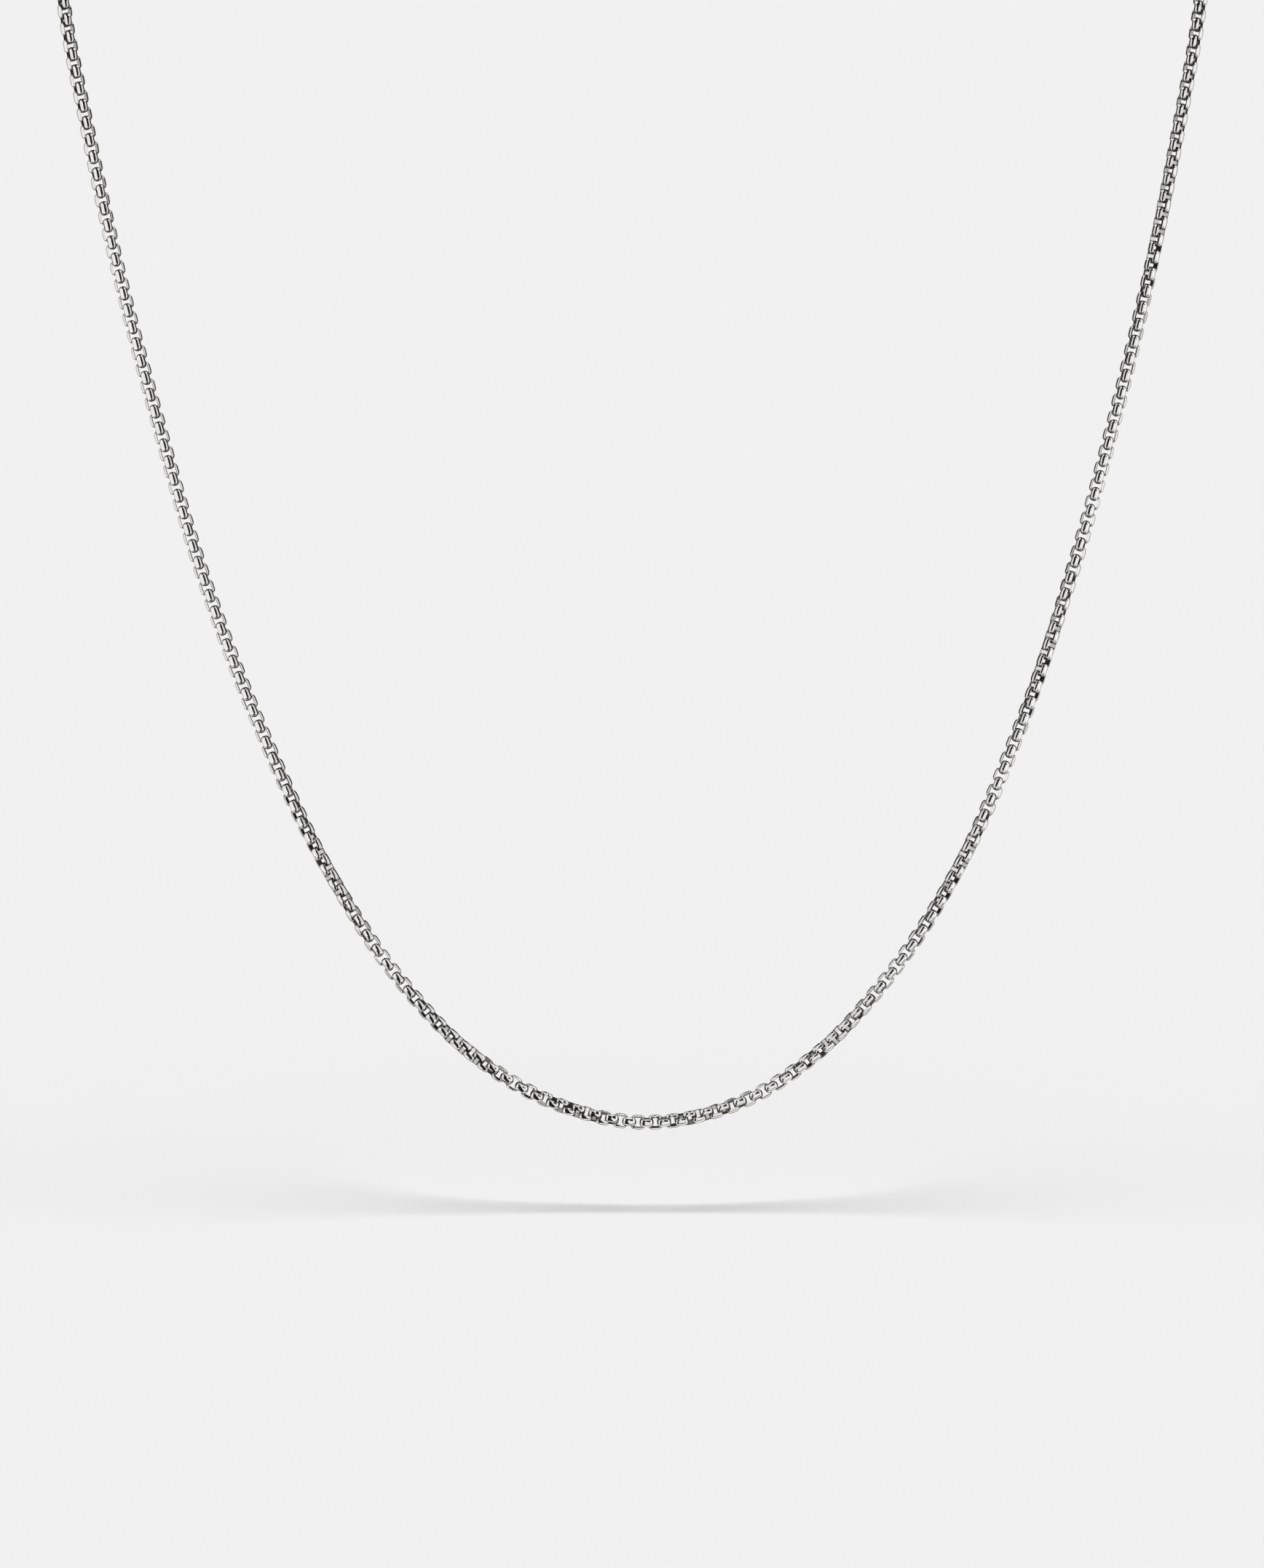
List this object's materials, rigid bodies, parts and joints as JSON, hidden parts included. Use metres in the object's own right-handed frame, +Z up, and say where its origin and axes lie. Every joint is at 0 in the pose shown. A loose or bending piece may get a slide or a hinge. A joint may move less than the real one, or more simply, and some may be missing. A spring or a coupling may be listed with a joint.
{
  "type": "box chain necklace",
  "caption": "Closed loop of rounded box chain with soldered end rings and a lobster-claw clasp at the nape.",
  "frame": {"origin": "middle of the clasp, where the necklace lies on the wearer's nape", "axes": "+Z up, -Y towards the front of the necklace, +X to the right as it is seen from the front"},
  "size_m": [0.1336, 0.0629, 0.1658],
  "materials": {
    "polished_silver": "polished"
  },
  "bodies": {
    "root": {"chain": "polished_silver", "end_ring_right": "polished_silver", "end_ring_left": "polished_silver", "clasp": "polished_silver"}
  },
  "joints": []
}
